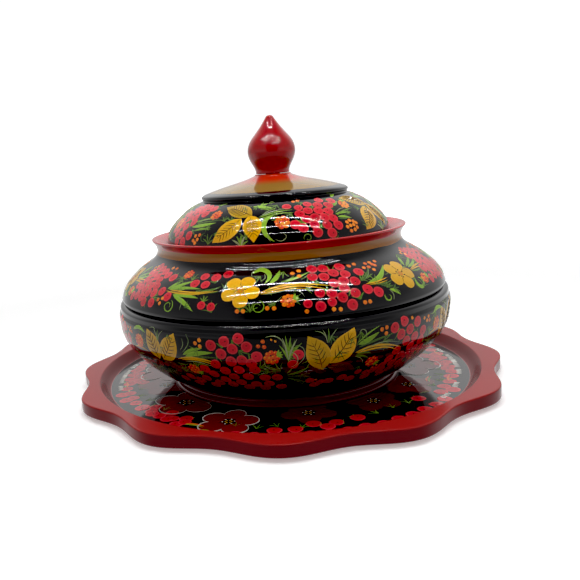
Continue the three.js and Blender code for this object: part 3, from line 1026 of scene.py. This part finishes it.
bellyRight = {
    "leaves": [
        ((11, 40.5), (6.8, 63), 14.2, 0.25, -0.06), ((13, 45), (20.4, 65), 13.8, 0.4, -0.04),
        ((12.4, 42.6), (22, 35.4), 8.6, -0.6, 0.06, 8),
    ],
    "berries": [
        (33.8, 60.3), (37.7, 62.8), (43.4, 60.2), (36.3, 55.4), (40, 57), (38.7, 50.4), (42.4, 51.4),
        (46.4, 53.6), (35.4, 45.2), (45.8, 47.6), (41.2, 45.6), (38, 40.2), (44.3, 42), (33.6, 39.6),
        (41.4, 38.4), (36.4, 34.4), (29.4, 31.2), (33, 29.4), (50, 36.4), (47.2, 32), (50.8, 30.4),
        (18.4, 29.4), (14, 27.6), (21.6, 26.4), (9.6, 24.6), (27.6, 25.4), (34.4, 24.2), (46.6, 26.4),
        (40.2, 32.4), (44.8, 35.8), (32.2, 34.4), (47.8, 40.6), (37.2, 28), (42.6, 27.4), (23.5, 33, 2.4),
        (26.6, 30.8, 2.4),
    ],
    "small": [
        (29.1, 61), (30.8, 61.6), (30.6, 58.2), (41, 63.4, 1.1, 0.9), (46.9, 60.9, 1.1, 0.9),
        (48.4, 58.8, 1.2), (49.8, 58.4, 1.2), (49.2, 61, 1.1), (28.4, 34.4, 1.0), (29.6, 36, 1.0),
    ],
    "raspberries": [(26.8, 41, -30, 1.0, 0.3), (54.6, 54, 90, 1.05, 0.5, False)],
    "curls": [(49.8, 51, 3.4, 60, 1.1, 0.8, 0.3), (22.8, 61, 2.4, -60, 0.7, 0.55, 0.5, "Pales", 0.2)],
    "strokes": [
        ("Greens", 3.1, 0.85, (21.4, 54.6), (24.4, 56.4), (28.2, 60)),
        ("Greens", 1.3, 0.3, (21.6, 53), (27, 55.4), (34, 57.4)),
        ("Greens", 1.0, 0.6, (21.3, 55.6), (24, 59.6), (28.6, 63.6)),
        ("Golds", 1.5, 0.4, (20.6, 50), (25, 52), (30, 51.6), (36.8, 47.4)),
        ("Golds", 1.1, 0.7, (20.8, 49.6), (26, 50.4), (31, 49.6), (36, 45.4)),
        ("Pales", 0.6, 0.5, (22, 50), (27, 53), (31, 53.2), (35.6, 51)),
        ("Greens", 1.4, 0.3, (20.8, 48.6), (23.4, 49), (26, 47.6)),
        ("Pales", 0.5, 0.2, (20.4, 47.6), (23, 44.4), (23.6, 40)),
        ("Greens", 1.6, 0.3, (20.6, 47.8), (23.6, 46.4), (25.2, 44.6)),
        ("Pales", 0.5, 0.3, (9, 65.6), (11, 64), (12.2, 60)),
        ("Pales", 0.5, 0.4, (12.3, 58), (11.9, 62), (11.2, 66)),
        ("Greens", 0.9, 0.4, (12.5, 58), (12.7, 62), (12.9, 66.4)),
        ("Pales", 0.5, 0.3, (12.7, 58), (13.6, 62), (15.4, 65.6)),
        ("Greens", 2.6, 1.0, (52, 61.4), (55.6, 63.8), (60, 61.4)),
        ("Greens", 1.5, 0.3, (48.6, 46), (52, 44.4), (56, 45.4)),
        ("Golds", 1.2, 0.4, (50, 49), (55, 50.4), (59.6, 48.4)),
        ("Greens", 1.8, 0.2, (50, 43), (53, 39), (56, 36)),
        ("Greens", 1.6, 0.2, (27.4, 27.6), (30.6, 30), (33.6, 30.4)),
    ],
}

# the lid has one stretch of leaves and two of berries
lidLeaves = {
    "leaves": [
        ((-12.6, 24.2), (-32.4, 34.2), 12.2, -0.05, -0.05, 7, True),
        ((-18.4, 22.4), (-31.4, 5.2), 13.2, 0.55, 0.04, 6),
        ((-14.2, 24.8), (-10.4, 4.8), 12.2, 0.6, 0.05, 6),
    ],
    "raspberries": [(3.2, 17.6, 100, 1.15, 0.6, False)],
    "curls": [(-2, 36.6, 1.8, 0, 0.9, 0.5, 0.8)],
    "strokes": [
        ("Greens", 3.0, 0.9, (-13.4, 33.6), (-8, 32.8), (-1.6, 31)),
        ("Greens", 1.2, 0.8, (-9.6, 34), (-8, 36), (-7.4, 38)),
        ("Greens", 1.2, 0.8, (-8.4, 34), (-6, 35.8), (-4, 36.4)),
        ("Greens", 1.0, 0.5, (-9, 30.6), (-4, 30), (1, 29.4)),
        ("Greens", 1.1, 0.6, (-9, 22.4), (-3, 25.2), (3, 27), (9.6, 27.4)),
        ("Pales", 0.7, 0.4, (-8.6, 23.2), (-3, 26.6), (3, 28.6), (8, 29)),
        ("Greens", 0.8, 0.7, (-8, 21.6), (-2, 23.8), (5, 25.2), (10, 24.6)),
        ("Pales", 0.6, 0.3, (-7, 24.6), (-4, 27.6), (-1, 29)),
        ("Greens", 3.4, 1.0, (-1.2, 23.2), (-4.8, 20.6), (-6, 15.6), (-4.9, 9.6), (-1, 4.6)),
        ("Pales", 0.5, 0.4, (-0.6, 6), (2.6, 5), (4.4, 7.6), (3.2, 9.6)),
        ("Pales", 0.5, 0.3, (-2.6, 4.6), (-4, 8), (-2, 11)),
    ],
    "tufts": [[(-16.4, 2.4), (-21, 7), (-18.8, 9.2), (-16.6, 9.8), (-14.6, 8.8), (-13, 6)]],
}
lidBerries = {
    "berries": [
        (7, 31, 2.9), (13.6, 29, 2.8), (20, 31.8, 2.9), (29.6, 35, 3.0), (37.8, 32.8), (26, 29.6),
        (32.8, 28.6), (24.2, 24.4), (29.8, 23), (18.2, 25.4), (13, 23.2), (15.6, 18.4), (9.4, 15),
        (20.6, 19), (25.6, 18.4), (12.8, 12.2), (18.8, 13.6), (19.2, 8.2), (30, 17), (25, 12.4),
        (30.8, 11.4), (26.2, 6.8),
    ],
    "small": [
        (12.2, 36.4), (15.2, 37), (36.4, 12.4, 1.3, 0.9), (38.5, 13.4, 1.3, 0.9), (40.5, 12.4, 1.3, 0.9),
        (35.5, 9.3, 1.3, 0.8), (37.6, 9.8, 1.3, 0.9), (39.7, 10, 1.3, 0.9), (41.9, 11, 1.2, 0.9),
        (37, 6.4, 1.3, 0.8), (39.4, 6.8, 1.3, 0.8), (41.2, 8, 1.2, 0.8),
    ],
    "raspberries": [(43.8, 27.4, 60, 0.95, 0.8)],
    "curls": [(28, 4.8, 2.6, 30, 1.0, 0.5, 0.5), (14.2, 5.4, 2.8, 200, -1.0, 0.5, 0.4)],
    "strokes": [
        ("Greens", 2.4, 0.9, (42.4, 36.8), (45.6, 39.4), (49.4, 40.4)),
        ("Greens", 2.0, 0.8, (35.6, 27), (38.2, 29), (41.6, 31.6)),
        ("Greens", 1.8, 0.9, (32.6, 19.6), (38, 20.4), (43.6, 19.4)),
        ("Greens", 1.2, 0.4, (33, 18.6), (39.4, 21.6), (46.8, 22.8)),
        ("Greens", 1.8, 0.8, (33, 17.4), (37.4, 17), (41, 15)),
        ("Pales", 0.6, 0.4, (32.8, 20.8), (38, 23.6), (44, 24.4)),
        ("Greens", 1.3, 0.2, (33, 16), (36, 15.6), (39, 15.6)),
    ],
}
lidLeftBerries = {
    "berries": [
        (-55.4, 35.6), (-48.6, 34.4), (-42.6, 33), (-51.6, 30), (-46, 27.4), (-57.2, 29.4), (-61.6, 33),
        (-52.6, 23.8), (-58.6, 23), (-63.4, 26.8), (-61, 17.2), (-55.6, 15.6), (-50.8, 19.6), (-65.6, 20.6),
        (-56.2, 9.6), (-48.6, 9.6), (-52.8, 4.8), (-62, 10.8), (-67, 13), (-68, 27), (-70, 18.6),
        (-59, 4.8),
    ],
    "small": [(-43, 9.4), (-41.2, 7.2), (-40.4, 10.2), (-44, 6.4), (-42.6, 4.8)],
    "raspberries": [(-35.9, 26.2, 60, 0.95, 0.45, False)],
    "curls": [(-36.8, 8.4, 3.4, 90, 1.1, 0.5, 0.2)],
    "strokes": [
        ("Greens", 2.8, 0.9, (-49.6, 16), (-42, 17.4), (-33, 19.6)),
        ("Greens", 1.3, 0.7, (-50, 19.4), (-43, 22), (-36.2, 24)),
        ("Greens", 1.8, 0.7, (-45.4, 13.4), (-40, 14.8), (-35, 14.6)),
        ("Greens", 1.0, 0.3, (-48, 18), (-40, 20.4), (-30, 21.6)),
        ("Pales", 0.6, 0.3, (-46, 20), (-39, 22.6), (-32, 22.6)),
        ("Greens", 1.2, 0.5, (-40.4, 36), (-38, 38), (-35, 38.6)),
    ],
}

# places on the tray floor: angle from the front and distance from the tray's middle
trayBand = {
    "edge": 127.5,  # where the painted floor ends
    "berries": [
        (-97.1, 114), (-92.6, 110), (-87.4, 109), (-83, 107), (-80.8, 104), (-69.6, 120.5), (-63.7, 120),
        (-53.7, 116.6), (-46.7, 116.7), (-39.4, 116.5), (-34.3, 110), (-34.1, 119.5), (-4, 115), (2, 114),
        (7.8, 108), (14.8, 109.6), (22.1, 108), (48, 109), (60.3, 121), (73.4, 115.8), (81.4, 113.3),
        (87.4, 112), (94, 111.3), (98.6, 113.3), (11.4, 113.8), (-51, 109), (-42, 108),
    ],
    "dashes": [-101.9, -91.4, -84.7, 54.5, 65.1, 84.8, 90.5, 103],
    "oranges": [(-80, 116.7), (71.3, 115.1), (-28.6, 116), (68.7, 102)],
    "arcs": [(-73.8, 114.6), (-57.4, 115.1), (-24, 120)],
    "roses": [
        (-19.8, 104.5, 18.5, 0.55, 0.45, True), (-46.5, 90, 21.0, 0.3, 0.1, True),
        (-74, 88, 20.0, 0.35, 0.3, False), (86, 88, 21.0, 0.45, 0.9, True),
        (60, 92, 18.0, 0.35, 0.2, False), (36, 91, 17.0, -0.2, 0.2, False), (8, 90, 17.0, -0.2, 0.2, False),
    ],
}


def rose(art, side, angle, reach, size, tone, edge, outlined):
    # five broad petals round a dotted middle
    up = trayBand["edge"] - reach
    deg = math.degrees(1 / float(side.radius(up)))
    turn = 40 + angle
    for i in range(5):
        a = math.radians(turn + 72 * i)
        dx, dy = size * 0.62 * math.cos(a), size * 0.62 * math.sin(a)
        petal = []
        for k in range(24):
            b = 2 * math.pi * k / 24
            away = math.cos(b - a)
            r = size * 0.43 * (1 + 0.06 * math.cos(3 * (b - a)) - 0.10 * max(0, away) ** 6)
            petal.append((r * math.cos(b), r * math.sin(b)))
        art.patch(side, "Petals", angle + dx * deg, up + dy, petal, tone, 0, (0.4, 0.8, 0.94, 1.0))
        if outlined:
            rim = []
            for k in range(11):
                b = a + math.radians(-105 + 21 * k)
                r = size * 0.41
                rim.append((angle + (dx + r * math.cos(b)) * deg, up + dy + r * math.sin(b)))
            art.stroke(side, "Whites", rim, 0.75, edge, 1, [0.3, 0.8, 1, 0.9, 1, 0.7, 0.3])
    for i in range(6):
        a = math.radians(turn + 60 * i)
        for r, color in ((0.10, "Golds"), (0.20, "Whites")):
            x, y = size * r * math.cos(a), size * r * math.sin(a)
            art.patch(side, color, angle + x * deg, up + y, circle(0.55, 8), 0.7, 1, (0.6, 1.0))


trayBerry = 4.6  # the tray's berries are larger


def paintTray():
    art = Painting("tray")
    floorEdge = trayBand["edge"]
    side = Side([(floorEdge, trayMake["floor"]), (1.0, trayMake["floor"])])
    for turn in (0, 180):
        for angle, reach, size, tone, edge, outlined in trayBand["roses"]:
            rose(art, side, angle + turn, reach, size, tone, edge, outlined)
        for angle, reach in trayBand["berries"]:
            berry(art, side, angle + turn, floorEdge - reach, trayBerry, 0.1 + 0.4 * art.random.random())
        for angle in np.arange(-14.5, 52, 5.1):
            up = 4.4 + 1.2 * art.random.random()
            berry(art, side, angle + turn, up, trayBerry, 0.1 + 0.4 * art.random.random())
        for angle in np.arange(57, 150, 5.3):
            up = 11.5 + 2.0 * art.random.random()
            berry(art, side, angle + turn, up, 4.4, 0.1 + 0.4 * art.random.random())
        for angle in np.arange(-16, 150, 6.5):
            away = art.random.random() * 6
            way = math.pi * (0.2 + 0.6 * art.random.random())
            grass(art, side, angle + turn, 14 + away, way, 8.0, 0.35, 3)
        for angle in trayBand["dashes"]:
            for i in range(4):
                base = angle + turn + (i - 1.5) * 1.1
                places = [(base, 9.0), (base + 0.2 * (i - 1.5), 5.4)]
                art.stroke(side, "Whites", places, 1.5, 0.95, 0, [1, 1, 0.5])
        for angle, reach in trayBand["oranges"]:
            at, up = angle + turn, floorEdge - reach
            places = [(at - 3.4, up), (at, up + 1.5), (at + 3.4, up + 0.5)]
            art.stroke(side, "Oranges", places, 1.8, 0.5)
            art.stroke(side, "Greens", [(a, u - 1.6) for a, u in places], 1.3, 0.7)
        for angle, reach in trayBand["arcs"]:
            at, up = angle + turn, floorEdge - reach
            places = [(at - 2.6, up - 2.5), (at, up), (at + 3, up - 1.5)]
            art.stroke(side, "Greens", places, 1.4, 0.5)
    art.finishUp("tray", paints)


def paintBowl():
    art = Painting("bowl")
    shoulder = Side([(111.2, 65.8)] + shoulderCurve)
    for shift in (0, 120, 240):
        paintBand(art, shoulder, shoulderBand, shift, 1.0, 0.0, 0.5 if shift else 0.0)
    belly = Side(bellyPaint)
    paintBand(art, belly, bellyLeft)
    paintBand(art, belly, bellyRight)
    for i in range(5):
        paintBand(art, belly, bellyRight, 51.0 * (i + 1), 0.95, 12.7, 0.6)
    sowGrass(art, shoulder, 6, 37, 150, 7.0)
    sowGrass(art, belly, 25, 63, 190, 8.0)
    art.finishUp("bowl", paints)


def paintLid():
    art = Painting("lid")
    dome = Side(lidPaint)
    paintBand(art, dome, lidLeftBerries)
    for shift in (0, 78.7, 149, 219.3, 289.7):
        paintBand(art, dome, lidLeaves, shift, 1.0, -15.7, 0.5 if shift else 0.0)
        if shift == 0:
            paintBand(art, dome, lidBerries)
        elif shift < 280:
            paintBand(art, dome, lidBerries, shift, 0.89, -15.7, 0.6)
    sowGrass(art, dome, 4, 37, 110, 6.5)
    art.finishUp("lid", paints)


paintTray()
paintBowl()
paintLid()


roomMake = {
    "floor": (0.90, 0.90, 0.90),
    "floorReach": 3.0,  # metres
    "floorGlow": 0.34,
    "sky": 1.05,
    "blackLevel": 0.012,
    "tentRadius": 5.0,
    "tentPower": 1.3,  # the brightest the cloth could be
    "tentBack": 1.15,
    "tentSide": 0.42,
    "tentLow": 0.66,
    "tentTop": 0.35,
    "tentFront": 0.022,
    "tentUnder": 0.34,
    "tentUnderBack": 0.95,
    "dots": 260.0,
    "dotSize": 0.0034,
    "dotPitch": 0.009,
    "overhead": 1.35,
    "fill": 1.3,
}
lampRows = {"y": (-0.060, -0.137, -0.290), "z": 0.45, "from": -0.20, "to": 0.25}


def makeFloor():
    reach = roomMake["floorReach"]
    sides = 96
    verts = [(0, 0, 0)]
    faces = []
    for r in (0.35, 1.2, reach):
        for i in range(sides):
            a = 2 * math.pi * i / sides
            verts.append((r * math.cos(a), r * math.sin(a), 0))
    for i in range(sides):
        j = (i + 1) % sides
        faces.append((0, 1 + i, 1 + j))
        for ring in range(2):
            a, b = 1 + ring * sides, 1 + (ring + 1) * sides
            faces.append((a + i, b + i, b + j, a + j))
    finish = Finish("studio paper")
    where = finish.place()
    x, y, z = finish.parts(where)
    cloud = finish.noise(where, 3.0, 2.0)
    color = finish.mix(cloud, roomMake["floor"], tuple(c * 0.985 for c in roomMake["floor"]))
    far = finish.smooth((x * x + y * y) ** 0.5, 0.4, 1.1)
    near = tuple(c * roomMake["floorGlow"] for c in roomMake["floor"])
    sockets = {"Base Color": color, "Roughness": 0.8, "Emission Strength": 1.0}
    sockets["Emission Color"] = finish.mix(far, near, (1, 1, 1))
    paper = finish.surface(finish.add("BsdfPrincipled", None, sockets))
    made = meshObject("studioFloor", verts, faces, [paper])
    made.visible_diffuse = False
    made.visible_glossy = False


def makeTent():
    # a soft white surround, dark low down at the front so that the black lacquer stays deep
    sides, rows = 64, 40
    radius = roomMake["tentRadius"]
    verts, faces = [], []
    for k in range(rows + 1):
        tilt = math.pi * (k / rows - 0.5) * 0.999
        reach, height = radius * math.cos(tilt), radius * math.sin(tilt)
        for i in range(sides):
            a = 2 * math.pi * i / sides
            verts.append((reach * math.sin(a), -reach * math.cos(a), height))
    for k in range(rows):
        for i in range(sides):
            j = (i + 1) % sides
            faces.append((k * sides + i, (k + 1) * sides + i, (k + 1) * sides + j, k * sides + j))
    finish = Finish("tent cloth")
    x, y, z = finish.parts(finish.place())
    back = finish.smooth(y, radius * 0.1, radius * 0.75)
    top = finish.smooth(z, radius * 0.35, radius * 0.8)
    strength = roomMake["tentSide"] + back * (roomMake["tentBack"] - roomMake["tentSide"])
    strength = strength + top * (roomMake["tentTop"] - roomMake["tentSide"])
    low = finish.smooth(z, radius * 0.40, radius * 0.08)
    strength = strength + low * (roomMake["tentLow"] - strength)
    # the dark opening in front and overhead, a little to the right
    aside = finish.add("Math", {"operation": "ABSOLUTE"}, {0: x - radius * 0.06})
    opening = finish.smooth(aside, radius * 0.62, radius * 0.30)
    opening = opening * finish.smooth(y, radius * 0.32, radius * -0.05)
    strength = strength + opening * (roomMake["tentFront"] - strength)
    below = finish.smooth(z, radius * 0.02, radius * -0.10)
    behind = finish.smooth(y, radius * -0.45, radius * 0.25)
    under = roomMake["tentUnder"] + behind * (roomMake["tentUnderBack"] - roomMake["tentUnder"])
    strength = strength + below * (under - strength)
    cloth = finish.mix(strength / roomMake["tentPower"], (0, 0, 0), (1, 1, 1))
    glow = finish.add("Emission", None, {"Color": cloth, "Strength": roomMake["tentPower"]})
    made = meshObject("lightTent", verts, faces, [finish.surface(glow)])
    made.visible_camera = False
    made.visible_shadow = False


def makeStrips():
    # three rows of small lamps overhead, seen as dotted lines in the lacquer
    finish = Finish("small lamps")
    glow = finish.add("Emission", None, {"Color": (1, 1, 1), "Strength": roomMake["dots"]})
    material = finish.surface(glow)
    verts, faces = [], []
    half = roomMake["dotSize"] / 2
    z = lampRows["z"]
    count = int((lampRows["to"] - lampRows["from"]) / roomMake["dotPitch"])
    for y in lampRows["y"]:
        for i in range(count):
            x = lampRows["from"] + (i + 0.5) * roomMake["dotPitch"]
            start = len(verts)
            corners = ((-half, -half), (-half, half), (half, half), (half, -half))
            verts += [(x + dx, y + dy, z) for dx, dy in corners]
            faces.append((start, start + 1, start + 2, start + 3))
    made = meshObject("lampStrips", verts, faces, [material])
    made.visible_camera = False


def makeLamps():
    # soft light from above and a weaker one from the front, neither of them mirrored in the lacquer
    sun = bpy.data.lights.new("overhead", "SUN")
    sun.energy = roomMake["overhead"]
    sun.angle = math.radians(120)
    above = bpy.data.objects.new("overhead", sun)
    above.rotation_euler = (math.radians(14), 0, 0)
    fill = bpy.data.lights.new("frontFill", "AREA")
    fill.shape = "DISK"
    fill.size = 0.8
    fill.energy = roomMake["fill"]
    front = bpy.data.objects.new("frontFill", fill)
    front.location = (0.1, -0.9, 0.6)
    front.rotation_euler = (Vector((0, 0, 0.08)) - front.location).to_track_quat("-Z", "Y").to_euler()
    for made in (above, front):
        made.visible_glossy = False
        bpy.context.scene.collection.objects.link(made)


def makeWorld():
    world = bpy.data.worlds.new("white room")
    bpy.context.scene.world = world
    world.use_nodes = True
    ground = world.node_tree.nodes["Background"]
    ground.inputs["Color"].default_value = (1, 1, 1, 1)
    ground.inputs["Strength"].default_value = roomMake["sky"]
    world.cycles_visibility.diffuse = False
    world.cycles_visibility.glossy = False
    view = bpy.context.scene.view_settings
    view.view_transform = "Standard"
    view.look = "None"
    view.use_curve_mapping = True
    view.curve_mapping.black_level = (roomMake["blackLevel"],) * 3
    view.curve_mapping.update()


makeFloor()
makeTent()
makeStrips()
makeLamps()
makeWorld()
print("room and lamps set up")


cameraMake = {
    "place": (0.0, -0.480, 0.1563),
    "down": 0.1844,  # radians
    "aside": -0.1091,
    "lean": -0.0815,
    "lens": 41.9,
    "shift": 0.143,
}


def makeCamera():
    down, aside, lean = cameraMake["down"], cameraMake["aside"], cameraMake["lean"]
    ahead = Vector((math.sin(aside) * math.cos(down), math.cos(aside) * math.cos(down), -math.sin(down)))
    right = ahead.cross(Vector((0, 0, 1))).normalized()
    top = right.cross(ahead)
    sideways = math.cos(lean) * right + math.sin(lean) * top
    upward = -math.sin(lean) * right + math.cos(lean) * top
    camera = bpy.data.cameras.new("camera")
    camera.sensor_width = 36
    camera.lens = cameraMake["lens"]
    camera.shift_x = cameraMake["shift"]
    camera.clip_start = 0.01
    made = bpy.data.objects.new("camera", camera)
    turn = Matrix((sideways, upward, -ahead)).transposed()
    made.matrix_world = Matrix.Translation(cameraMake["place"]) @ turn.to_4x4()
    bpy.context.scene.collection.objects.link(made)
    bpy.context.scene.camera = made


makeCamera()
print("camera placed")
